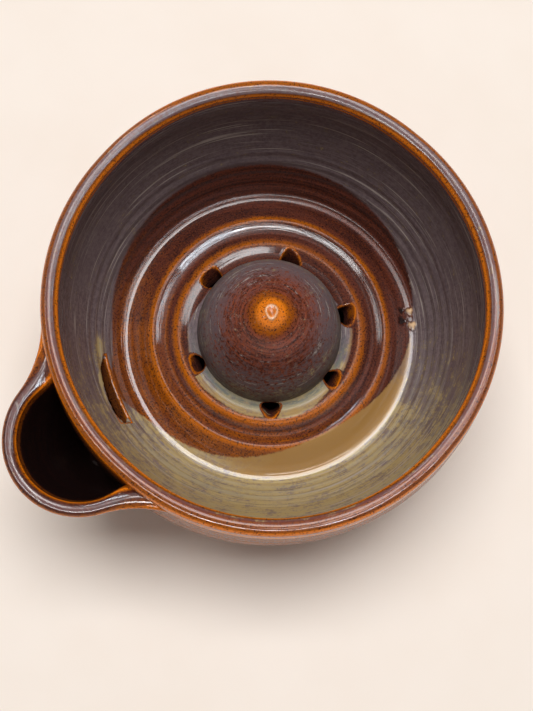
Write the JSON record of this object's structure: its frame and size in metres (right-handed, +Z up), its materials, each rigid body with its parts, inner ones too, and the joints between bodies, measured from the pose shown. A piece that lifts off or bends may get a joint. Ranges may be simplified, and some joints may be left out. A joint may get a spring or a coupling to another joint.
{
  "type": "citrus juicer bowl",
  "caption": "Glazed stoneware citrus juicer: bellied bowl with a ridged strainer floor, a central reamer dome with drain holes at its foot, and a pocket pouring spout.",
  "frame": {"origin": "middle of the flat foot, on the wheel axis", "axes": "+Z up along the wheel axis, +X towards the pouring spout"},
  "size_m": [0.1812, 0.1584, 0.088],
  "materials": {
    "slate_glaze": "gloss slate glaze breaking to amber at the rim",
    "tenmoku_glaze": "gloss iron brown glaze, amber on the ridges",
    "dome_glaze": "satin purple brown glaze, orange at the tip",
    "amber_glaze": "gloss amber glaze over slate"
  },
  "bodies": {
    "root": {"bowl_body": "slate_glaze", "strainer_floor": "tenmoku_glaze", "strainer_coil": "tenmoku_glaze", "reamer_dome": "dome_glaze", "pour_spout": "amber_glaze", "spout_coil": "amber_glaze"}
  },
  "joints": []
}
